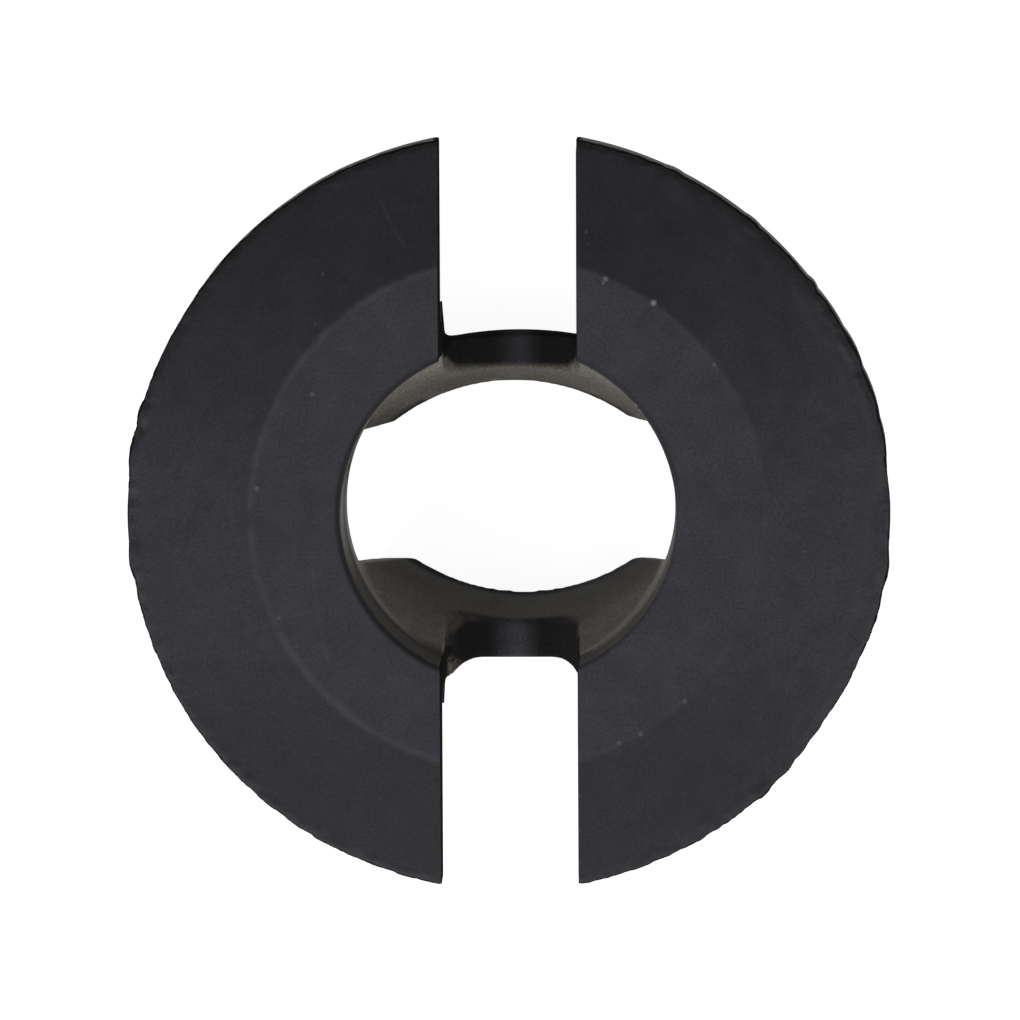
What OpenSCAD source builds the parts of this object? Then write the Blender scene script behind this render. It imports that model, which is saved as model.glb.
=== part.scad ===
// Rubber panel grommet: a broad flange split into two half-moon lobes, a groove for the
// edge of a panel, and a tapered nose whose bore narrows to a lens-shaped throat.
// Two slots run down from the face at top and bottom, and a cross slot runs up from the nose.
// Origin: centre of the nose end. +Z is the bore's axis and points out of the flange face,
// +Y runs along the slots in the face.

/* [Flange] */
// Outer diameter of the flange
flange_d = 40; // [34:0.5:50]
// Thickness of the flange at its flat land
flange_t = 3; // [2.2:0.1:5]
// Diameter of the flat land round the bore
land_d = 27; // [24:0.5:31]
// How far the face falls from the land to the rim
rim_fall = 0.35; // [0.1:0.05:0.8]
// Rounding of the rim's two edges
rim_round = 0.35; // [0.1:0.05:0.7]

/* [Bore] */
// Diameter of the straight bore behind the face
bore_d = 17.6; // [16.4:0.1:20]
// Depth of the straight bore
bore_depth = 3.5; // [2:0.1:4.5]
// Width of the small shoulder under the straight bore
shoulder_w = 0.1; // [0.05:0.05:0.3]
// Height of the lens-shaped throat at the nose end
throat_h = 11.4; // [10:0.1:12.4]
// Radius of the throat's two arcs
throat_arc_r = 10.4; // [9:0.1:12]
// How far the throat sits off the bore's axis, across the slots
throat_x = 0.3; // [-0.5:0.05:0.5]
// How far the throat sits off the bore's axis, along the slots
throat_y = 0.1; // [-0.3:0.05:0.3]
// How far the throat is turned about the bore's axis, in degrees
throat_turn = -3; // [-6:0.5:6]

/* [Neck and nose] */
// Wall between the bore and the bottom of the groove
neck_wall = 1.5; // [1:0.1:2.5]
// Width of the groove, a little more than the thickness of panel that it takes
groove_w = 2.1; // [1.2:0.1:4]
// How far the lip that holds the panel stands out past the neck
lip_reach = 1; // [0.5:0.1:2.5]
// Thickness of the lip at its widest
lip_t = 0.8; // [0.6:0.1:2]
// Length of the tapered nose below the lip
nose_h = 6.1; // [5.4:0.1:9]
// Wall between the top of the throat and the outside of the nose's end
nose_wall = 2.5; // [2:0.1:3]
// Rounding of the lip and of the nose's end
nose_round = 0.25; // [0.1:0.05:0.3]

/* [Slots] */
// Width of the two slots in the face
slot_w = 7.2; // [5:0.1:8]
// Depth of the face slots below the land, where they cross the hub
slot_depth = 8.7; // [7:0.1:9.4]
// Radius at the root of the face slots
slot_root_r = 1.5; // [0.3:0.1:2]
// Wall between the top of the throat and the flat outside it, where the slots run right through
flat_wall = 3; // [2.6:0.1:3.6]
// Radius of the slight bow of the flat under the upper slot
flat_bow_r = 18.7; // [14:0.1:40]
// Corner radius at the end of the upper slot
upper_corner_r = 0.3; // [0.2:0.05:1.2]
// Corner radius at the end of the lower slot, right side
lower_corner_r = 1.5; // [0.2:0.05:2]
// Corner radius at the end of the lower slot, left side, where the corner is fuller
full_corner_r = 2; // [0.2:0.05:2.4]
// Width of the cross slot at the nose end
cross_w = 7.7; // [5:0.1:8]
// Draft of the cross slot's walls, in degrees
cross_draft = 3.4; // [0:0.2:5]
// Height of the cross slot from the nose end
cross_h = 6; // [5:0.1:7.4]
// Radius at the root of the cross slot
cross_root_r = 0.8; // [0.3:0.1:1.5]

/* [Hidden] */
$fn = 96;
cut = 1;
rubber_colour = "#3b3a3f";
lip_z = nose_h + lip_t;
flange_z = lip_z + groove_w;
height = flange_z + flange_t;
flange_r = flange_d / 2;
rim_z = height - rim_fall;
bore_r = bore_d / 2;
neck_r = bore_r + neck_wall;
lip_r = neck_r + lip_reach;
nose_r = throat_h / 2 + nose_wall;
flat_y = throat_h / 2 + flat_wall;
// Level of the shoulder, and radius of the hub's hollow below it
shoulder_z = height - bore_depth;
hollow_r = bore_r - shoulder_w;
slot_root_z = height - slot_depth;
// The throat's arcs are centred across the axis from their own side
lens_shift = throat_arc_r - throat_h / 2;
// Widening of the funnel for each millimetre of height
funnel_slope = (hollow_r - throat_h / 2) / shoulder_z;

// Half section of the body before the bore and the slots are cut
module body_section() {
    polygon([
        [0, 0],
        [nose_r - nose_round, 0],
        [nose_r, nose_round],
        [lip_r, nose_h],
        [lip_r, lip_z - nose_round],
        [lip_r - nose_round, lip_z],
        [neck_r, lip_z],
        [neck_r, flange_z],
        [flange_r - rim_round, flange_z],
        [flange_r, flange_z + rim_round],
        [flange_r, rim_z - rim_round],
        [flange_r - rim_round, rim_z],
        [land_d / 2, height],
        [0, height]
    ]);
    round_edge(nose_r - nose_round, nose_round, nose_round);
    round_edge(lip_r - nose_round, lip_z - nose_round, nose_round);
    round_edge(flange_r - rim_round, flange_z + rim_round, rim_round);
    round_edge(flange_r - rim_round, rim_z - rim_round, rim_round);
}

// Disc that rounds one edge of the half section
module round_edge(x, z, r) {
    translate([x, z]) circle(r = r);
}

module body() {
    rotate_extrude() body_section();
}

// One of the two leaning cones whose overlap is the funnel with its lens-shaped throat
module funnel_cone(side) {
    translate([throat_x, throat_y, -cut])
        rotate([0, 0, throat_turn])
            translate([0, -side * lens_shift, 0])
                cylinder(
                    r1 = throat_arc_r - funnel_slope * cut,
                    r2 = throat_arc_r + funnel_slope * (height + cut),
                    h = height + 2 * cut
                );
}

// Round hollow that narrows above and below towards the throat
module hub_hollow() {
    intersection() {
        translate([0, 0, -cut]) cylinder(r = hollow_r, h = height + 2 * cut);
        funnel_cone(1);
        funnel_cone(-1);
    }
}

// Straight bore behind the face, down to its shoulder
module bore() {
    translate([0, 0, shoulder_z]) cylinder(d = bore_d, h = bore_depth + cut);
}

// Cross section of a slot, w wide at the height h, with its rounded root at zero and its mouth upwards
module slot_section(w, h, r, draft = 0) {
    root_x = w / 2 - h * tan(draft);
    // Centre of the root's rounding, and where it meets the wall
    round_x = root_x + r * tan(draft) - r / cos(draft);
    wall_x = round_x + r * cos(draft);
    wall_y = r - r * sin(draft);
    // The section runs on past its mouth by the cut
    mouth_x = w / 2 + cut * tan(draft);
    mouth_y = h + cut;
    polygon([
        [-round_x, 0],
        [round_x, 0],
        [wall_x, wall_y],
        [mouth_x, mouth_y],
        [-mouth_x, mouth_y],
        [-wall_x, wall_y]
    ]);
    for (side = [-1, 1])
        translate([side * round_x, r]) circle(r = r);
}

// Slot across the whole face, down to its root in the hub
module face_slot() {
    translate([0, 0, slot_root_z])
        rotate([90, 0, 0])
            linear_extrude(height = flange_d + 2 * cut, center = true)
                slot_section(slot_w, slot_depth, slot_root_r);
}

// Slot up into the nose, at right angles to the face slots
module cross_slot() {
    translate([0, 0, cross_h])
        rotate([90, 0, 90])
            linear_extrude(height = 2 * (lip_r + cut), center = true)
                mirror([0, 1])
                    slot_section(cross_w, cross_h, cross_root_r, cross_draft);
}

// Height of the bowed flat at a distance from the slot's middle
function bow_y(x) = flat_y - flat_bow_r + sqrt(pow(flat_bow_r, 2) - pow(x, 2));

// Fills one corner of the upper slot with a concave fillet, side is 1 on the right
module corner_fill(side, r) {
    end_y = bow_y(slot_w / 2 - r);
    difference() {
        translate([side > 0 ? slot_w / 2 - r : -slot_w / 2 - cut, end_y - cut])
            square([r + cut, r + cut]);
        translate([side * (slot_w / 2 - r), end_y + r]) circle(r = r);
    }
}

// Plan of the upper slot outside the hub, where it runs right through
module upper_slot_plan() {
    difference() {
        translate([-slot_w / 2, flat_y - cut]) square([slot_w, flange_r - flat_y + 2 * cut]);
        translate([0, flat_y - flat_bow_r]) circle(r = flat_bow_r, $fn = 192);
        corner_fill(-1, upper_corner_r);
        corner_fill(1, upper_corner_r);
    }
}

// Plan of the lower slot outside the hub, with a straight end and two unlike corners
module lower_slot_plan(left_r, right_r) {
    polygon([
        [-slot_w / 2, flat_y + left_r],
        [left_r - slot_w / 2, flat_y],
        [slot_w / 2 - right_r, flat_y],
        [slot_w / 2, flat_y + right_r],
        [slot_w / 2, flange_r + cut],
        [-slot_w / 2, flange_r + cut]
    ]);
    translate([left_r - slot_w / 2, flat_y + left_r]) circle(r = left_r);
    translate([slot_w / 2 - right_r, flat_y + right_r]) circle(r = right_r);
}

module open_slots() {
    translate([0, 0, -cut]) linear_extrude(height = height + 2 * cut) {
        upper_slot_plan();
        mirror([0, 1]) lower_slot_plan(full_corner_r, lower_corner_r);
    }
}

module grommet() {
    color(rubber_colour) difference() {
        body();
        hub_hollow();
        bore();
        face_slot();
        open_slots();
        cross_slot();
    }
}

grommet();
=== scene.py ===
"""A split rubber panel grommet: flange in two lobes, panel groove, tapered nose and lens-shaped throat.

The forms are modelled in millimetres round the bore's axis, then brought down to metres.
"""
import logging
import math
import random
from dataclasses import dataclass, field
from enum import Enum
from typing import Callable

import bpy
from mathutils import Matrix, Vector


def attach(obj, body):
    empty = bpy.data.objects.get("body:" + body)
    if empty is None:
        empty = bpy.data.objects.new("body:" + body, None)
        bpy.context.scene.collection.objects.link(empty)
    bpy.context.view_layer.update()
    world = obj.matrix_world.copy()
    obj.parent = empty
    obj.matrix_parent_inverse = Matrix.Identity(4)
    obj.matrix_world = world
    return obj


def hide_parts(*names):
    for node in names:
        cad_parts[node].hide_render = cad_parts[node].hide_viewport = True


log = logging.getLogger("grommet")

MILLIMETRE = 0.001
PAST = 1.0
FACE_HEIGHT = 11.95

Point = tuple[float, float]
Colour = tuple[float, float, float, float]


class Side(Enum):
    """Which way a slot lies from the bore."""

    UPPER = 1
    LOWER = -1


class Grain(Enum):
    """Which pattern of noise a finish asks for."""

    CLOUDY = "CLOUDY"
    FIBROUS = "FIBROUS"


# Bench work

def deselect_all() -> None:
    """Leaves nothing selected in object mode."""
    if bpy.context.object and bpy.context.object.mode != "OBJECT":
        bpy.ops.object.mode_set(mode="OBJECT")
    bpy.ops.object.select_all(action="DESELECT")


def take(piece: bpy.types.Object) -> bpy.types.Object:
    """Selects one piece alone and makes it active."""
    deselect_all()
    piece.select_set(True)
    bpy.context.view_layer.objects.active = piece
    return piece


def latest(name: str) -> bpy.types.Object:
    """Names the primitive that was just added and returns it."""
    piece = bpy.context.object
    piece.name = name
    piece.data.name = name
    return piece


def apply_modifier(piece: bpy.types.Object, kind: str, **settings: object) -> None:
    """Adds a modifier with its settings and applies it.

    Args:
        piece: The piece that is changed.
        kind: The modifier's type.
        settings: Values of the modifier's properties.
    """
    take(piece)
    modifier = piece.modifiers.new(kind.title(), kind)
    for name, value in settings.items():
        setattr(modifier, name, value)
    bpy.ops.object.modifier_apply(modifier=modifier.name)


def combine(piece: bpy.types.Object, tool: bpy.types.Object, operation: str) -> None:
    """Cuts, joins or crosses a piece with a tool piece and removes the tool.

    Args:
        piece: The piece that stays.
        tool: The piece that is used up.
        operation: DIFFERENCE, UNION or INTERSECT.
    """
    apply_modifier(piece, "BOOLEAN", object=tool, operation=operation, solver="EXACT")
    bpy.data.objects.remove(tool, do_unlink=True)


def pick_edges(piece: bpy.types.Object, wanted: Callable[[Vector, Vector], bool]) -> int:
    """Enters edit mode with only the wanted edges selected.

    Args:
        piece: The piece whose edges are looked at.
        wanted: Tells from an edge's two ends whether it is taken.

    Returns:
        How many edges were selected.
    """
    take(piece)
    bpy.ops.object.mode_set(mode="EDIT")
    bpy.ops.mesh.select_mode(type="EDGE")
    bpy.ops.mesh.select_all(action="DESELECT")
    bpy.ops.object.mode_set(mode="OBJECT")
    mesh, count = piece.data, 0
    for edge in mesh.edges:
        ends = [piece.matrix_world @ mesh.vertices[index].co for index in edge.vertices]
        edge.select = wanted(*ends)
        count += edge.select
    bpy.ops.object.mode_set(mode="EDIT")
    return count


def round_picked(radius: float, segments: int = 8) -> None:
    """Bevels the selected edges to a radius and leaves edit mode."""
    bpy.ops.mesh.bevel(offset=radius, offset_type="OFFSET", segments=segments, affect="EDGES")
    bpy.ops.object.mode_set(mode="OBJECT")


def block(name: str, low: tuple[float, float, float], high: tuple[float, float, float]) -> bpy.types.Object:
    """Adds a block between two corners, with its place in its mesh.

    Args:
        name: The piece's name.
        low: The lowest corner, in millimetres.
        high: The highest corner, in millimetres.

    Returns:
        The block.
    """
    deselect_all()
    centre = [(a + b) / 2 for a, b in zip(low, high)]
    bpy.ops.mesh.primitive_cube_add(size=1, location=centre)
    piece = latest(name)
    piece.scale = [b - a for a, b in zip(low, high)]
    bpy.ops.object.transform_apply(location=True, rotation=True, scale=True)
    return piece


def arc(centre: Point, radius: float, start: float, end: float, steps: int = 5) -> list[Point]:
    """Points along an arc of a half section.

    Args:
        centre: The arc's centre as radius and height.
        radius: The arc's radius.
        start: Angle of the first point in degrees.
        end: Angle of the last point in degrees.
        steps: How many pieces the arc has.

    Returns:
        The points as radius and height.
    """
    angles = [math.radians(start + (end - start) * i / steps) for i in range(steps + 1)]
    return [(centre[0] + radius * math.cos(a), centre[1] + radius * math.sin(a)) for a in angles]


# Node work

@dataclass(frozen=True)
class Value:
    """A number in a shader graph that adds Math nodes when it is reckoned with."""

    graph: "Graph"
    socket: bpy.types.NodeSocket

    def __add__(self, other: "Number") -> "Value":
        """Sum."""
        return self.graph.maths("ADD", self, other)

    def __sub__(self, other: "Number") -> "Value":
        """Difference."""
        return self.graph.maths("SUBTRACT", self, other)

    def __mul__(self, other: "Number") -> "Value":
        """Product."""
        return self.graph.maths("MULTIPLY", self, other)

    def __truediv__(self, other: "Number") -> "Value":
        """Quotient."""
        return self.graph.maths("DIVIDE", self, other)

    def __rsub__(self, other: "Number") -> "Value":
        """Difference from a plain number."""
        return self.graph.maths("SUBTRACT", other, self)

    __radd__ = __add__
    __rmul__ = __mul__

    def magnitude(self) -> "Value":
        """The number without its sign."""
        return self.graph.maths("ABSOLUTE", self, 0.0)

    def step(self, low: float, high: float) -> "Value":
        """Rises smoothly from 0 at low to 1 at high, or falls where high is the lower."""
        if low > high:
            return 1 - self.step(high, low)
        inputs = {"Value": self, "From Min": low, "From Max": high}
        made = self.graph.node("ShaderNodeMapRange", {"interpolation_type": "SMOOTHSTEP"}, inputs)
        return Value(self.graph, made.outputs["Result"])

    def ring(self, middle: float, width: float) -> "Value":
        """A soft line that is 1 at the middle value and gone a width away."""
        return (self - middle).magnitude().step(width, 0.0)


Number = Value | float


class Graph:
    """The node graph of a material or a world, with one way to add any node."""

    def __init__(self, owner: bpy.types.Material | bpy.types.World) -> None:
        """Empties the owner's node tree."""
        owner.use_nodes = True
        self.tree = owner.node_tree
        self.tree.nodes.clear()

    def node(self, kind: str, settings: dict | None = None, inputs: dict | None = None) -> bpy.types.Node:
        """Adds a node.

        Args:
            kind: The node's type.
            settings: Its own properties, set first.
            inputs: Values, colours or links for its sockets, by name or number.

        Returns:
            The node.
        """
        made = self.tree.nodes.new(kind)
        for name, value in (settings or {}).items():
            setattr(made, name, value)
        for name, value in (inputs or {}).items():
            self._feed(made.inputs[name], value)
        return made

    def _feed(self, socket: bpy.types.NodeSocket, value: object) -> None:
        """Links a socket or sets its value."""
        source = value.socket if isinstance(value, Value) else value
        if isinstance(source, bpy.types.NodeSocket):
            self.tree.links.new(source, socket)
        else:
            socket.default_value = source

    def maths(self, operation: str, first: Number, second: Number) -> Value:
        """Adds a Math node on two numbers."""
        made = self.node("ShaderNodeMath", {"operation": operation}, {0: first, 1: second})
        return Value(self, made.outputs[0])

    def vector(self, operation: str, first: object, second: object) -> bpy.types.NodeSocket:
        """Adds a Vector Math node that gives a vector."""
        return self.node("ShaderNodeVectorMath", {"operation": operation}, {0: first, 1: second}).outputs[0]

    def blend(self, share: Number, first: object, second: object, mode: str = "MIX") -> bpy.types.NodeSocket:
        """Mixes two colours.

        Args:
            share: How much of the second colour is taken.
            first: Colour or link.
            second: Colour or link.
            mode: The Mix node's blend type.

        Returns:
            The mixed colour.
        """
        settings = {"data_type": "RGBA", "blend_type": mode, "clamp_factor": True}
        return self.node("ShaderNodeMix", settings, {0: share, 6: first, 7: second}).outputs[2]

    def noise(self, place: object, scale: float, detail: float = 3.0, grain: Grain = Grain.CLOUDY) -> Value:
        """Noise round 0.5 at a scale in waves per millimetre."""
        if grain is Grain.FIBROUS:
            place = self.vector("MULTIPLY", place, (1.0, 0.16, 1.0))
        inputs = {"Vector": place, "Scale": scale, "Detail": detail, "Roughness": 0.55}
        return Value(self, self.node("ShaderNodeTexNoise", {"noise_dimensions": "3D"}, inputs).outputs[0])


# Forms

@dataclass
class TurnedBody:
    """Flange, panel groove, lip and tapered nose, turned round the bore's axis."""

    flange_radius: float = 19.995
    flange_under: float = 9.0
    height: float = 12.0
    land_radius: float = 13.5
    rim_height: float = 11.65
    rim_round: float = 0.35
    neck_radius: float = 10.3
    lip_radius: float = 11.3
    lip_top: float = 6.9
    nose_height: float = 6.1
    nose_radius: float = 8.2
    nose_round: float = 0.25
    steps: int = 288

    def outline(self) -> list[Point]:
        """The half section from the nose end up to the face, as radius and height."""
        rim = self.flange_radius - self.rim_round
        lip = self.lip_radius - self.nose_round
        return [
            *arc((self.nose_radius - self.nose_round, self.nose_round), self.nose_round, -90, -20),
            (self.lip_radius, self.nose_height),
            *arc((lip, self.lip_top - self.nose_round), self.nose_round, 0, 90),
            (self.neck_radius, self.lip_top),
            (self.neck_radius, self.flange_under),
            *arc((rim, self.flange_under + self.rim_round), self.rim_round, -90, 0),
            *arc((rim, self.rim_height - self.rim_round), self.rim_round, 0, 87),
            (self.land_radius, self.height),
        ]

    def build(self) -> bpy.types.Object:
        """Raises the body from a disc by extruding and resizing it level by level."""
        (radius, level), *rest = self.outline()
        deselect_all()
        bpy.ops.mesh.primitive_circle_add(
            vertices=self.steps, radius=radius, fill_type="NGON", location=(0, 0, level)
        )
        piece = latest("grommet_body")
        bpy.ops.object.transform_apply(location=True)
        bpy.ops.object.mode_set(mode="EDIT")
        bpy.ops.mesh.select_all(action="SELECT")
        for next_radius, next_level in rest:
            share = next_radius / radius
            bpy.ops.mesh.extrude_region_move(TRANSFORM_OT_translate={"value": (0, 0, next_level - level)})
            bpy.ops.transform.resize(value=(share, share, 1), center_override=(0, 0, next_level))
            radius, level = next_radius, next_level
        bpy.ops.mesh.select_all(action="SELECT")
        bpy.ops.mesh.normals_make_consistent(inside=False)
        bpy.ops.object.mode_set(mode="OBJECT")
        return piece


@dataclass
class HubHollow:
    """Straight bore with its shoulder, and the funnel below it with the lens-shaped throat."""

    bore_radius: float = 8.8
    hollow_radius: float = 8.7
    shoulder: float = 8.5
    throat_height: float = 11.28
    throat_arc: float = 10.4
    throat_centre: Point = (0.26, 0.125)
    throat_turn: float = -3.0
    top: float = 12.0
    steps: int = 288

    def cone(self, side: Side) -> bpy.types.Object:
        """One of the two leaning cones whose overlap is the funnel."""
        slope = (self.hollow_radius - self.throat_height / 2) / self.shoulder
        shift = side.value * (self.throat_arc - self.throat_height / 2)
        turn = math.radians(self.throat_turn)
        centre = (self.throat_centre[0] + shift * math.sin(turn), self.throat_centre[1] - shift * math.cos(turn))
        deselect_all()
        bpy.ops.mesh.primitive_cone_add(
            vertices=self.steps,
            radius1=self.throat_arc - slope * PAST,
            radius2=self.throat_arc + slope * (self.top + PAST),
            depth=self.top + 2 * PAST,
            location=(*centre, self.top / 2),
        )
        return latest("funnel_cone")

    def build(self) -> list[bpy.types.Object]:
        """Makes the two cutting pieces, the funnel and the bore."""
        deselect_all()
        depth = self.shoulder + 0.2 + PAST
        bpy.ops.mesh.primitive_cylinder_add(
            vertices=self.steps, radius=self.hollow_radius, depth=depth, location=(0, 0, depth / 2 - PAST)
        )
        funnel = latest("funnel")
        for side in Side:
            combine(funnel, self.cone(side), "INTERSECT")
        deselect_all()
        depth = self.top - self.shoulder + PAST
        bpy.ops.mesh.primitive_cylinder_add(
            vertices=self.steps, radius=self.bore_radius, depth=depth, location=(0, 0, self.shoulder + depth / 2)
        )
        return [funnel, latest("bore")]


@dataclass
class Slots:
    """The slot across the face, the two openings outside the hub and the cross slot in the nose."""

    half_width: float = 3.6
    root: float = 3.3
    root_round: float = 1.5
    reach: float = 20.0
    flat: float = 8.68
    bow_radius: float = 26.0
    bow_middle: float = 0.65
    corners: dict[Side, tuple[float, float]] = field(
        default_factory=lambda: {Side.UPPER: (0.3, 0.5), Side.LOWER: (2.0, 1.5)}
    )
    corner_floor: dict[Side, float] = field(default_factory=lambda: {Side.UPPER: 8.42, Side.LOWER: 8.7})
    cross_mouth: float = 3.85
    cross_root: float = 3.49
    cross_height: float = 6.0
    cross_round: float = 0.8
    cross_uneven: tuple[tuple[int, int, float], ...] = ((-1, 1, -0.54), (1, 1, 0.26), (-1, -1, 0.08), (1, -1, 0.14))
    top: float = 12.0

    def face_slot(self) -> bpy.types.Object:
        """Slot across the whole face, with a rounded root."""
        far = self.reach + PAST
        piece = block("face_slot", (-self.half_width, -far, self.root), (self.half_width, far, self.top + PAST))
        pick_edges(piece, lambda a, b: abs(a.z - self.root) < 0.01 and abs(b.z - self.root) < 0.01 and a.x * b.x > 0)
        round_picked(self.root_round, 12)
        return piece

    def opening(self, side: Side) -> bpy.types.Object:
        """The part of a slot that runs right through, up to the hub's flat, which is bowed in the upper one."""
        floor, far = self.corner_floor[side], self.reach + PAST
        near, edge = sorted((side.value * floor, side.value * far))
        piece = block("opening", (-self.half_width, near, -PAST), (self.half_width, edge, self.top + PAST))
        for radius, hand in zip(self.corners[side], (-1, 1)):
            pick_edges(piece, lambda a, b, h=hand: all(
                abs(p.x - h * self.half_width) < 0.01 and abs(p.y - side.value * floor) < 0.01 for p in (a, b)
            ))
            round_picked(radius, 14)
        if side is Side.UPPER:
            deselect_all()
            bpy.ops.mesh.primitive_cylinder_add(
                vertices=720, radius=self.bow_radius, depth=self.top + 4 * PAST,
                location=(self.bow_middle, self.flat - self.bow_radius, self.top / 2),
            )
            combine(piece, latest("bow"), "DIFFERENCE")
        return piece

    def cross_slot(self) -> bpy.types.Object:
        """Drafted slot up into the nose, at right angles to the face slot."""
        draft = (self.cross_mouth - self.cross_root) / self.cross_height
        mouth, far = self.cross_mouth + draft * PAST, self.reach
        piece = block("cross_slot", (-far, -mouth, -PAST), (far, mouth, self.cross_height))
        pick_edges(piece, lambda a, b: min(a.z, b.z) > 0)
        share = self.cross_root / mouth
        bpy.ops.transform.resize(value=(1, share, 1), center_override=(0, 0, self.cross_height))
        bpy.ops.object.mode_set(mode="OBJECT")
        # The moulding isn't quite regular, so each corner of the slot is moved a little across it
        for end, wall, move in self.cross_uneven:
            pick_edges(piece, lambda a, b, e=end, w=wall: min(a.x * e, b.x * e, a.y * w, b.y * w) > 0)
            bpy.ops.transform.translate(value=(0, move, 0))
            bpy.ops.object.mode_set(mode="OBJECT")
        pick_edges(piece, lambda a, b: min(a.z, b.z) > 0 and a.y * b.y > 0)
        round_picked(self.cross_round, 10)
        return piece

    def build(self) -> list[bpy.types.Object]:
        """Makes all the cutting pieces of the slots."""
        return [self.face_slot(), self.opening(Side.UPPER), self.opening(Side.LOWER), self.cross_slot()]


@dataclass(frozen=True)
class Swell:
    """A stretch of the rim that stands out or is worn back, in degrees round the bore."""

    middle: float
    half_width: float
    share: float

    def share_at(self, place: Vector) -> float:
        """How strongly the stretch acts at a place, falling off towards its ends."""
        turn = math.degrees(math.atan2(place.y, place.x)) - self.middle
        away = abs((turn + 180) % 360 - 180) / self.half_width
        return self.share * max(0.0, 1.0 - away * away)


@dataclass
class RimNicks:
    """Small chips along the worn outer rim, most of them at the right and the far left."""

    radius: float = 20.0
    heights: tuple[float, float] = (11.2, 11.65)
    stretches: tuple[tuple[float, float, int], ...] = ((-6, 60, 26), (98, 150, 5), (154, 196, 12), (200, 262, 5), (280, 350, 7))
    sizes: tuple[float, float] = (0.09, 0.2)
    seed: int = 11

    def build(self) -> bpy.types.Object:
        """Makes one cutting piece out of all the chips."""
        chance = random.Random(self.seed)
        chips = []
        for start, end, count in self.stretches:
            for index in range(count):
                turn = math.radians(start + (end - start) * (index + chance.uniform(0.15, 0.85)) / count)
                size = chance.uniform(*self.sizes)
                out = self.radius + size * chance.uniform(0.5, 0.9)
                place = (out * math.cos(turn), out * math.sin(turn), chance.uniform(*self.heights))
                deselect_all()
                bpy.ops.mesh.primitive_ico_sphere_add(subdivisions=2, radius=size, location=place)
                chip = latest("chip")
                chip.scale = [chance.uniform(0.7, 1.3) for _ in range(3)]
                bpy.ops.object.transform_apply(location=True, rotation=True, scale=True)
                chips.append(chip)
        deselect_all()
        for chip in chips:
            chip.select_set(True)
        bpy.context.view_layer.objects.active = chips[0]
        bpy.ops.object.join()
        return latest("chips")


# Finish

@dataclass(frozen=True)
class Speck:
    """A grain of pale dust, in millimetres."""

    x: float
    y: float
    size: float
    strength: float
    z: float = FACE_HEIGHT


SPECKS = (
    Speck(7.64, 11.15, 0.17, 1.0),
    Speck(6.48, 5.78, 0.13, 0.8),
    Speck(6.64, 5.74, 0.12, 0.9),
    Speck(5.13, 12.41, 0.15, 0.6),
    Speck(5.03, 12.2, 0.1, 0.4),
    Speck(4.15, 14.87, 0.1, 0.2),
    Speck(10.79, 7.91, 0.12, 0.3),
    Speck(6.81, 5.45, 0.12, 0.3),
    Speck(9.21, -9.84, 0.13, 0.35),
    Speck(6.91, -11.57, 0.13, 0.3),
    Speck(5.76, -12.04, 0.13, 0.3),
    Speck(-11.99, 14.71, 0.13, 0.2),
    Speck(-9.63, 12.67, 0.12, 0.2),
    Speck(-10.21, 6.39, 0.15, 0.3),
    Speck(-13.14, 1.41, 0.16, 0.35),
    Speck(-12.04, -5.39, 0.14, 0.25),
    Speck(-16.96, -0.26, 0.16, 0.15),
)

BITS = (
    Speck(-3.45, -8.95, 0.6, 0.5, 3.9),
    Speck(-3.5, -9.45, 0.55, 0.6, 3.8),
    Speck(-3.1, -9.0, 0.4, 0.4, 3.4),
    Speck(-3.55, -9.9, 0.5, 0.5, 3.9),
)


@dataclass(frozen=True)
class Scuff:
    """A faint curved trace on the face, in millimetres."""

    centre: Point
    radius: float
    middle: Point
    reach: float
    strength: float


SCUFFS = (
    Scuff((-0.4, 18.3), 6.4, (-6.0, 15.3), 2.1, 0.2),
    Scuff((15.0, -1.2), 25.3, (-9.9, -5.4), 4.3, 0.24),
    Scuff((3.0, -3.5), 14.3, (-11.1, -1.8), 0.7, 0.35),
    Scuff((2.0, -11.0), 7.2, (8.4, -7.8), 0.8, 0.22),
    Scuff((22.0, 9.0), 6.5, (16.6, 5.6), 1.6, 0.16),
)


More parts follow.
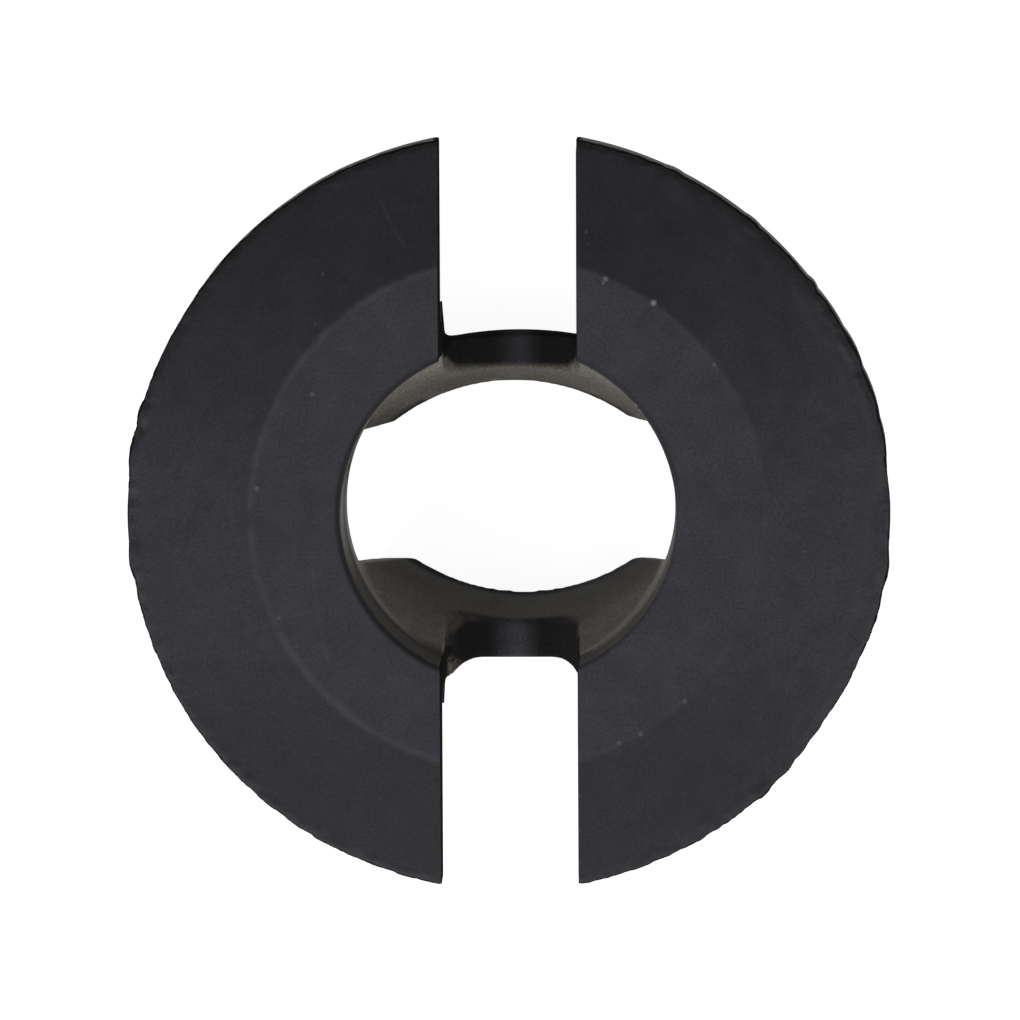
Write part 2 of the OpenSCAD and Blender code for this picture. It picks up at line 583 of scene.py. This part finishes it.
@dataclass(frozen=True)
class RubberFinish:
    """Matte moulded black rubber, slightly dusty on its face, with painted shade in its slots and painted light on its
    inner walls.
    """

    land: Colour = (0.0425, 0.042, 0.0525, 1.0)
    outer: Colour = (0.0395, 0.0378, 0.0482, 1.0)
    # Near black: painted shade on the throat's edge, the bore's mouth, the outer zone's top and the rim's edge, where
    # it is partly bare rubber too
    shade_and_bare_black: Colour = (0.0045, 0.0043, 0.0055, 1.0)
    # Dark grey of the slot roots: painted shade
    deep: Colour = (0.0235, 0.0233, 0.0236, 1.0)
    # Painted highlight down the middle of the slot roots
    painted_glint: Colour = (0.1, 0.095, 0.112, 1.0)
    # Dark olive of the inner walls, which is painted shade where it shows on the slot walls and the rim's upper side
    wall: Colour = (0.014, 0.0135, 0.0115, 1.0)
    # Tan, pink, powder and cream: dust on the inner walls that is partly painted light and reflection
    tan: Colour = (0.088, 0.077, 0.06, 1.0)
    pink: Colour = (0.09, 0.073, 0.065, 1.0)
    powder_and_light: Colour = (0.2, 0.176, 0.16, 1.0)
    cream: Colour = (0.32, 0.296, 0.256, 1.0)
    chalk: Colour = (0.085, 0.083, 0.096, 1.0)
    dust: Colour = (0.25, 0.25, 0.265, 1.0)
    grit: Colour = (0.45, 0.4, 0.31, 1.0)
    land_radius: float = 13.5
    bore_radius: float = 8.8

    def material(self) -> bpy.types.Material:
        """Builds the rubber with its zones, wear and grain, and its painted shade and light.

        Returns:
            The finished material.
        """
        rubber = bpy.data.materials.new("rubber")
        graph = Graph(rubber)
        place = graph.node("ShaderNodeTexCoord").outputs["Object"]
        place = graph.vector("SCALE", place, (0.0, 0.0, 0.0))
        place.node.inputs["Scale"].default_value = 1 / MILLIMETRE
        parts = graph.node("ShaderNodeSeparateXYZ", inputs={0: place}).outputs
        x, y, z = (Value(graph, socket) for socket in parts)
        out = graph.maths("SQRT", x * x + y * y, 0.0)
        facing = graph.node("ShaderNodeSeparateXYZ", inputs={0: graph.node("ShaderNodeNewGeometry").outputs["Normal"]})
        east, north, upward = (Value(graph, socket) for socket in facing.outputs)

        broad = graph.noise(place, 0.13, 2.0)
        mottle = graph.noise(place, 0.7, 4.0)
        patches = graph.noise(place, 0.42, 4.0)
        fine = graph.noise(place, 7.0, 2.0)
        bloom = graph.noise(graph.vector("MULTIPLY", place, (1.0, 1.0, 0.5)), 4.5, 3.0)
        flour = graph.noise(graph.vector("MULTIPLY", place, (1.0, 1.0, 0.45)), 8.0, 2.0)
        streaks = graph.noise(place, 1.6, 2.0, Grain.FIBROUS)

        face = z.step(11.2, 11.5) * upward.step(0.55, 0.9)
        land = (out + (mottle - 0.5) * 0.2).step(self.land_radius + 0.14, self.land_radius - 0.14)
        hub_end = out.step(8.0, 8.4) * upward.step(-0.4, 0.1) * x.magnitude().step(3.95, 3.7)
        aside = (x - y.step(4.0, -4.0) * 0.45).magnitude().step(2.85, 3.65)
        mouth = (y.magnitude() - y.step(-4.0, 4.0) * 0.22 - aside * 0.55).step(6.45, 6.95)
        mouth = mouth * (1 - y.step(-4.0, -5.0) * x.step(-2.8, -3.5) * 0.35)
        root = graph.maths("MAXIMUM", upward.step(0.2, 0.6), hub_end) * z.step(6.5, 5.2) * mouth
        wall = graph.maths("MAXIMUM", upward.step(0.8, 0.5), z.step(7.0, 6.0))
        in_slot = x.magnitude().step(4.0, 3.7)
        inner = out.step(self.bore_radius + 0.35, self.bore_radius + 0.15) * ((east * x + north * y) / out).step(0.3, 0.0)
        inner = inner * (1 - in_slot * east.magnitude().step(0.45, 0.85) * out.step(8.5, 8.8))
        rim_top = z.step(10.8, 11.3) * out.step(19.4, 19.8)
        outside = (1 - inner) * (1 - graph.maths("MAXIMUM", in_slot, rim_top))
        low = north.step(0.0, 0.5)
        slope = (z + x.step(2.0, -4.0) * 0.7).step(9.1, 7.8)
        # Painted shade: the throat's edge is darker, most of all towards its two pointed ends
        ends = x.magnitude().step(3.0, 5.5)
        throat_shade_share = (0.65 - x.step(1.0, 5.0) * 0.3) * y.step(1.0, -1.0)
        throat_shade_share = throat_shade_share + (x.step(-1.5, 4.0) * 0.65 + x.step(-4.3, -5.0) * 0.75) * y.step(-1.0, 1.0)
        edge = (z - ends * 0.25).step(1.0, 0.1) * out.step(9.0, 8.6) * throat_shade_share
        patched = y.step(0.0, 3.0) * inner * (0.4 + (bloom - 0.5) * 1.6 + (patches - 0.5) * 0.9)
        shade = low * (0.42 + x.step(2.0, -3.0) * 0.08 - slope * 0.27) * inner
        shade = graph.maths("MAXIMUM", shade, (1 - inner) * (0.95 - outside * 0.75))
        shade = graph.maths("MAXIMUM", graph.maths("MAXIMUM", shade, patched), edge) * wall

        colour = graph.blend(land, self.outer, self.land)
        # Painted shade, partly less bloom: the outer zone is darker towards the top, a little towards the bottom, and
        # at the rim's rounded edge
        top_shade_and_bare = (y + (broad - 0.5) * 10).step(-1.0, 15.0) * 0.64 + y.step(-4.0, -15.0) * 0.36
        colour = graph.blend(top_shade_and_bare * (1 - land) * 0.97 + out.step(19.55, 19.95) * 0.25, colour, self.shade_and_bare_black)
        colour = self._grain(graph, self._grain(graph, colour, mottle, 0.7), fine, 1.25)
        colour = graph.blend(self._wear(graph, place, x, out, mottle, streaks) * face, colour, self.chalk)
        colour = graph.blend(self._scattered(graph, place) * face, colour, self.dust)

        # Inside, a patchy tan film, partly dust and partly painted light, is thick above, thin below, and ends short of
        # the throat's edge
        above = y.step(-2.0, 5.0) * (z.step(0.5, 8.5) * 0.55 + 0.3)
        film_and_light = (above + y.step(1.0, -3.0) * 0.25) * (0.55 + patches * 0.9) * z.step(0.0, 0.7)
        tint = graph.blend((mottle - 0.3).step(0.05, 0.35), self.tan, self.pink)
        # Painted shade: the slot walls and the rim's upper side keep the dark wall colour, while the other outside
        # faces take the outer colour
        inside = graph.blend(outside * 0.85, self.wall, self.outer)
        inside = graph.blend(film_and_light * inner, inside, tint)
        # Painted light, partly dust: the lower walls are lightened with powder and the upper walls near the face with
        # cream
        below = y.step(0.0, -3.0) * (slope * 0.9 + 0.1) * z.step(1.2, 7.0) * (x.step(2.5, 6.0) * 1.4 + 0.8)
        below = below * (0.35 + patches * 1.2)
        crest = y.step(2.0, 5.0) * (z.step(1.0, 7.5) * 0.6 + 0.25) * (0.5 + patches)
        inside = graph.blend(below * inner, inside, self.powder_and_light)
        inside = graph.blend(crest * inner, inside, self.cream)
        inside = self._grain(graph, self._grain(graph, inside, mottle, 0.6), bloom, inner * 0.8 + 0.4)
        inside = self._grain(graph, inside, flour, inner * (0.7 + y.step(0.0, 4.0) * 1.1))
        inside = graph.blend(edge, inside, self.shade_and_bare_black)
        colour = graph.blend(wall, colour, inside)
        # Painted shade and highlight: the slot roots are dark with a painted glint down the middle, darker in the upper
        # root and lighter in the lower
        upper = y.step(-5.0, 5.0)
        glint = ((x - upper * 0.23 - 0.12 + (streaks - 0.5) * 0.7).magnitude() + upper * 0.15).step(1.55, 0.0)
        painted_root_shade = graph.blend(glint * (0.5 + mottle * 0.8) * (1 - upper * 0.25), self.deep, self.painted_glint)
        painted_root_shade = self._grain(graph, self._grain(graph, painted_root_shade, upper, -0.55), fine, 1.1)
        colour = graph.blend(root * 0.97, colour, painted_root_shade)
        # Painted shadow: a dark line just inside the bore's front edge, on its left and upper side
        mouth_shadow_side = graph.maths("MAXIMUM", x.step(4.0, -2.0), y.step(0.0, 3.0) * 0.7)
        lip = out.ring(self.bore_radius + 0.14, 0.26) * z.step(11.3, 11.7) * mouth_shadow_side
        colour = graph.blend(lip * 0.85, colour, self.shade_and_bare_black)
        colour = graph.blend(self._specks(graph, place, BITS) * (fine - 0.3).step(0.0, 0.3), colour, self.grit)
        colour = graph.blend(self._specks(graph, place, SPECKS), colour, self.dust)

        rough = 0.6 + (mottle - 0.5) * 0.16 + (fine - 0.5) * 0.16 + shade * 0.25
        height = fine * 0.7
        bump = graph.node("ShaderNodeBump", inputs={"Strength": 0.35, "Distance": 0.00003, "Height": height}).outputs[0]
        dull = graph.node("ShaderNodeBsdfPrincipled", inputs={
            "Base Color": colour, "Roughness": rough, "Specular IOR Level": 0.32, "Normal": bump,
        })
        deep = graph.node("ShaderNodeBsdfPrincipled", inputs={
            "Base Color": colour, "Roughness": rough, "Specular IOR Level": 0.0, "Normal": bump,
        })
        share = graph.maths("MAXIMUM", root, shade)
        mixed = graph.node("ShaderNodeMixShader", inputs={0: share, 1: dull.outputs[0], 2: deep.outputs[0]})
        graph.node("ShaderNodeOutputMaterial", inputs={0: mixed.outputs[0]})
        return rubber

    def _wear(
        self, graph: Graph, place: bpy.types.NodeSocket, x: Value, out: Value, mottle: Value, streaks: Value
    ) -> Value:
        """Rubbed line along the land's edge, faint scuffs, and lighter traces on the rim.

        Args:
            graph: The material's graph.
            place: Place in millimetres.
            x: Place across the slots.
            out: Distance from the axis.
            mottle: Fine cloudy noise.
            streaks: Noise drawn out along the slots.

        Returns:
            How much of the chalky colour shows.
        """
        patchy = (mottle - 0.32).step(0.0, 0.3) * 0.7 + 0.3
        line = out.ring(self.land_radius, 0.32) * (0.12 + x.step(2.0, -9.0) * 0.38) * patchy
        rim = out.ring(18.9, 0.6) * (x.step(4.0, 16.0) * 0.12 + 0.02) * (streaks - 0.35).step(0.0, 0.3)
        total = line + rim
        for scuff in SCUFFS:
            trace = self._away(graph, place, (*scuff.centre, FACE_HEIGHT)).ring(scuff.radius, 0.13)
            near = self._away(graph, place, (*scuff.middle, FACE_HEIGHT)).step(scuff.reach, scuff.reach * 0.4)
            total = total + trace * near * scuff.strength * patchy
        return total

    def _grain(self, graph: Graph, colour: object, noise: Value, share: float) -> bpy.types.NodeSocket:
        """Lightens and darkens a colour by a noise.

        Args:
            graph: The material's graph.
            colour: The colour or link that is varied.
            noise: Noise round 0.5.
            share: How far the colour swings as the noise goes from 0 to 1.

        Returns:
            The varied colour.
        """
        return graph.blend(1.0, colour, 1 + (noise - 0.5) * share, "MULTIPLY")

    def _away(self, graph: Graph, place: bpy.types.NodeSocket, spot: tuple[float, float, float]) -> Value:
        """Distance from a spot."""
        inputs = {0: place, 1: spot}
        return Value(graph, graph.node("ShaderNodeVectorMath", {"operation": "DISTANCE"}, inputs).outputs["Value"])

    def _scattered(self, graph: Graph, place: bpy.types.NodeSocket) -> Value:
        """How much of the thinly scattered dust shows."""
        cells = graph.node("ShaderNodeTexVoronoi", {"feature": "F1"}, {"Vector": place, "Scale": 0.9})
        tint = graph.node("ShaderNodeSeparateColor", inputs={0: cells.outputs["Color"]}).outputs[0]
        return Value(graph, cells.outputs["Distance"]).step(0.11, 0.02) * Value(graph, tint).step(0.72, 0.95) * 0.1

    def _specks(self, graph: Graph, place: bpy.types.NodeSocket, specks: tuple[Speck, ...]) -> Value:
        """Placed specks.

        Args:
            graph: The material's graph.
            place: Place in millimetres.
            specks: Where they lie.

        Returns:
            How much of them shows.
        """
        total = 0.0
        for speck in specks:
            near = self._away(graph, place, (speck.x, speck.y, speck.z)).step(speck.size + 0.06, speck.size * 0.2)
            total = total + near * speck.strength
        return total


# Assembly

@dataclass
class Grommet:
    """The whole moulded piece."""

    body: TurnedBody = field(default_factory=TurnedBody)
    hollow: HubHollow = field(default_factory=HubHollow)
    slots: Slots = field(default_factory=Slots)
    nicks: RimNicks = field(default_factory=RimNicks)
    standing: tuple[Swell, ...] = (
        Swell(12.0, 4.0, 0.7), Swell(18.0, 6.0, 0.9), Swell(25.5, 4.5, 0.95), Swell(31.0, 5.0, 0.5),
        Swell(37.0, 1.2, 0.5), Swell(50.0, 1.5, 0.3), Swell(64.0, 1.5, 0.3), Swell(164.5, 2.0, 0.85),
        Swell(170.5, 4.0, 0.85), Swell(187.0, 3.0, 0.8), Swell(345.0, 5.0, 0.5), Swell(351.5, 3.5, 0.9),
        Swell(312.0, 2.0, 0.35), Swell(118.0, 6.0, 0.2), Swell(224.0, 24.0, 0.15),
    )
    worn: tuple[Swell, ...] = (
        Swell(4.5, 3.0, 0.9), Swell(326.0, 9.0, 0.9), Swell(336.0, 2.0, 0.4), Swell(177.5, 1.5, 0.8), Swell(148.0, 8.0, 0.3),
    )
    finish: RubberFinish = field(default_factory=RubberFinish)
    voxel: float = 0.1
    most_triangles: int = 190_000

    def mould(self) -> bpy.types.Object:
        """Cuts the turned body and softens it as a moulding.

        Returns:
            The grommet at its real size in metres.
        """
        piece = self.body.build()
        for tool in [*self.hollow.build(), *self.slots.build(), self.nicks.build()]:
            combine(piece, tool, "DIFFERENCE")
        apply_modifier(piece, "REMESH", mode="VOXEL", voxel_size=self.voxel * 1, adaptivity=0.0)
        apply_modifier(piece, "SMOOTH", factor=0.5, iterations=4)
        self.soften(piece)
        self.roughen(piece)
        triangles = 2 * len(piece.data.polygons)
        if triangles > self.most_triangles:
            apply_modifier(piece, "DECIMATE", ratio=self.most_triangles / triangles)
        take(piece)
        piece.scale = (MILLIMETRE,) * 3
        bpy.ops.object.transform_apply(location=True, rotation=True, scale=True)
        bpy.ops.object.shade_smooth()
        return piece

    def group(self, piece: bpy.types.Object, name: str, share_at: Callable[[Vector], float]) -> None:
        """Gives the vertices a share in a vertex group.

        Args:
            piece: The piece in millimetres.
            name: The group's name.
            share_at: The share, from 0 to 1, at a place.
        """
        group = piece.vertex_groups.new(name=name)
        shares: dict[int, list[int]] = {}
        for vertex in piece.data.vertices:
            share = round(20 * min(1.0, share_at(vertex.co)))
            if share > 0:
                shares.setdefault(share, []).append(vertex.index)
        for share, indices in shares.items():
            group.add(indices, share / 20, "REPLACE")

    def soften(self, piece: bpy.types.Object) -> None:
        """Rounds the slot roots, the bore's shoulder and the throat's edge more than the other edges."""
        def at_root(place: Vector) -> float:
            out = math.hypot(place.x, place.y)
            inside = abs(place.x) < 4.0 and out < 8.3
            return max(0.0, 1.0 - abs(place.z - self.slots.root - 0.3) / 1.3) if inside else 0.0

        def at_shoulder(place: Vector) -> float:
            if math.hypot(place.x, place.y) > self.hollow.bore_radius + 0.3:
                return 0.0
            clear_of_slot = min(1.0, max(0.0, (abs(place.x) - self.slots.half_width - 0.3) / 0.8))
            return max(0.0, 1.0 - abs(place.z - self.hollow.shoulder) / 1.0) * clear_of_slot

        def at_throat(place: Vector) -> float:
            inside = math.hypot(place.x, place.y) < self.body.nose_radius - 0.8 or abs(place.x) > 4.5
            return max(0.0, 1.0 - place.z / 0.8) if inside else 0.0

        for name, share_at, rounds in (("roots", at_root, 30), ("shoulder", at_shoulder, 30), ("throat", at_throat, 10)):
            self.group(piece, name, share_at)
            apply_modifier(piece, "SMOOTH", factor=0.6, iterations=rounds, vertex_group=name)

    def roughen(self, piece: bpy.types.Object) -> None:
        """Lets the rim stand out or wear back along its length, and eats a little into its edge."""
        def at_rim(place: Vector) -> float:
            inside_box = min(1.0, max(0.0, (self.body.flange_radius - abs(place.x)) / 0.2))
            return min(1.0, max(0.0, (math.hypot(place.x, place.y) - 19.3) / 0.4)) * inside_box

        for name, swells, reach in (("standing", self.standing, 0.17), ("worn", self.worn, -0.16)):
            self.group(piece, name, lambda place, s=swells: at_rim(place) * max(swell.share_at(place) for swell in s))
            apply_modifier(piece, "DISPLACE", vertex_group=name, strength=reach, mid_level=0.0)
        self.group(piece, "rim", lambda place: at_rim(place) * min(1.0, max(0.0, (place.z - 10.2) / 1.0)))
        clouds = bpy.data.textures.new("rim_wear", "CLOUDS")
        clouds.noise_scale = 0.7
        clouds.noise_depth = 3
        apply_modifier(
            piece, "DISPLACE", texture=clouds, texture_coords="LOCAL", vertex_group="rim", strength=0.18, mid_level=0.62
        )

    def dress(self, piece: bpy.types.Object) -> None:
        """Gives the piece its rubber and its place in the frame."""
        piece.name = piece.data.name = "grommet_rubber"
        piece.data.materials.clear()
        piece.data.materials.append(self.finish.material())
        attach(piece, "root")
        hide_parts("grommet")


# Studio

@dataclass
class Lamp:
    """A soft square lamp that looks at the grommet."""

    name: str
    place: tuple[float, float, float]
    size: float
    power: float

    def build(self, aim: Vector) -> None:
        """Hangs the lamp and turns it to the aim."""
        data = bpy.data.lights.new(self.name, "AREA")
        data.shape, data.size, data.energy = "SQUARE", self.size, self.power
        lamp = bpy.data.objects.new(self.name, data)
        bpy.context.scene.collection.objects.link(lamp)
        lamp.location = self.place
        lamp.rotation_euler = (aim - Vector(self.place)).to_track_quat("-Z", "Y").to_euler()


@dataclass
class Studio:
    """Floor, light and camera."""

    aim: tuple[float, float, float] = (0.0, 0.0, 0.012)
    tilt_x: float = 1.726
    tilt_y: float = 7.021
    distance: float = 0.498968
    focal: float = 336.7
    shift: tuple[float, float] = (0.00192, 0.00522)
    roll: float = 0.265
    near_wall: float = 0.85
    far_wall: float = 0.3
    zenith: float = 0.12
    lamps: tuple[Lamp, ...] = (
        Lamp("key", (-0.22, -0.42, 0.42), 0.5, 1.6),
        Lamp("fill", (0.4, -0.2, 0.4), 0.5, 0.7),
    )

    def floor(self) -> bpy.types.Object:
        """A wide pale floor just under the nose, white to the camera but for a trace of shadow."""
        deselect_all()
        bpy.ops.mesh.primitive_plane_add(size=6, location=(0, 0, -0.00002))
        floor = latest("floor")
        bpy.ops.object.transform_apply(location=True)
        bpy.ops.object.mode_set(mode="EDIT")
        bpy.ops.mesh.subdivide(number_cuts=3)
        bpy.ops.object.mode_set(mode="OBJECT")
        white = bpy.data.materials.new("floor_white")
        graph = Graph(white)
        path = graph.node("ShaderNodeLightPath").outputs
        seen = Value(graph, path["Is Camera Ray"]) + Value(graph, path["Is Glossy Ray"])
        seen = graph.maths("MINIMUM", seen + Value(graph, path["Is Transmission Ray"]), 1.0)
        lit = graph.node("ShaderNodeBsdfDiffuse", inputs={"Color": (0.8, 0.8, 0.8, 1)}).outputs[0]
        shadow = graph.node("ShaderNodeBsdfDiffuse", inputs={"Color": (0.4, 0.4, 0.4, 1)}).outputs[0]
        glow = graph.node("ShaderNodeEmission", inputs={"Color": (1, 1, 1, 1), "Strength": 0.92}).outputs[0]
        shown = graph.node("ShaderNodeAddShader", inputs={0: glow, 1: shadow}).outputs[0]
        mixed = graph.node("ShaderNodeMixShader", inputs={0: seen, 1: lit, 2: shown}).outputs[0]
        graph.node("ShaderNodeOutputMaterial", inputs={0: mixed})
        floor.data.materials.append(white)
        return floor

    def camera(self) -> bpy.types.Object:
        """Sets the camera at the photograph's angle."""
        data = bpy.data.cameras.new("camera")
        data.lens, data.sensor_width = self.focal, 36.0
        data.shift_x, data.shift_y = self.shift
        data.clip_start, data.clip_end = 0.01, 20.0
        camera = bpy.data.objects.new("camera", data)
        bpy.context.scene.collection.objects.link(camera)
        back = Vector((math.tan(math.radians(self.tilt_x)), math.tan(math.radians(self.tilt_y)), 1.0)).normalized()
        right = Vector((0, 1, 0)).cross(back).normalized()
        up = back.cross(right)
        turn = math.radians(self.roll)
        across = math.cos(turn) * right - math.sin(turn) * up
        along = math.sin(turn) * right + math.cos(turn) * up
        matrix = Matrix((across, along, back)).transposed().to_4x4()
        matrix.translation = Vector(self.aim) + back * self.distance
        camera.matrix_world = matrix
        bpy.context.scene.camera = camera
        return camera

    def surroundings(self, scene: bpy.types.Scene) -> None:
        """A pale room that is darker overhead, where the camera hangs, and white to the camera."""
        world = bpy.data.worlds.new("studio")
        graph = Graph(world)
        way = graph.node("ShaderNodeSeparateXYZ", inputs={0: graph.node("ShaderNodeTexCoord").outputs["Generated"]}).outputs
        ahead, height = Value(graph, way[1]), Value(graph, way[2])
        wall = ahead.step(0.5, -0.6) * (self.near_wall - self.far_wall) + self.far_wall
        level = height.step(0.95, 0.3) * (wall - self.zenith) + self.zenith
        seen = Value(graph, graph.node("ShaderNodeLightPath").outputs["Is Camera Ray"])
        glow = graph.node("ShaderNodeBackground", inputs={0: (1, 1, 1, 1), 1: level + seen}).outputs[0]
        graph.node("ShaderNodeOutputWorld", inputs={0: glow})
        scene.world = world

    def build(self) -> None:
        """Sets up everything round the grommet."""
        scene = bpy.context.scene
        scene.view_settings.view_transform = "Standard"
        self.surroundings(scene)
        self.floor()
        self.camera()
        for lamp in self.lamps:
            lamp.build(Vector(self.aim))


def main() -> None:
    """Builds the studio and the grommet.
    """
    Studio().build()
    grommet = Grommet()
    piece = grommet.mould()
    grommet.dress(piece)
    log.info("%s: %d faces", piece.name, len(piece.data.polygons))


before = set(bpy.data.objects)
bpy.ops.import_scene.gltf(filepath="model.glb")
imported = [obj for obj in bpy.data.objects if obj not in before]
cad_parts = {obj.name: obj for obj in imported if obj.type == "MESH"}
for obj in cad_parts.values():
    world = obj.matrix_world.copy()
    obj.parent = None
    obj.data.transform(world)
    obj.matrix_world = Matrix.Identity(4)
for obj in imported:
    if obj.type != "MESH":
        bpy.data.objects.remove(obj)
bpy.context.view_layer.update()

if __name__ == "__main__":
    logging.basicConfig(level=logging.INFO, format="%(name)s: %(message)s")
    main()
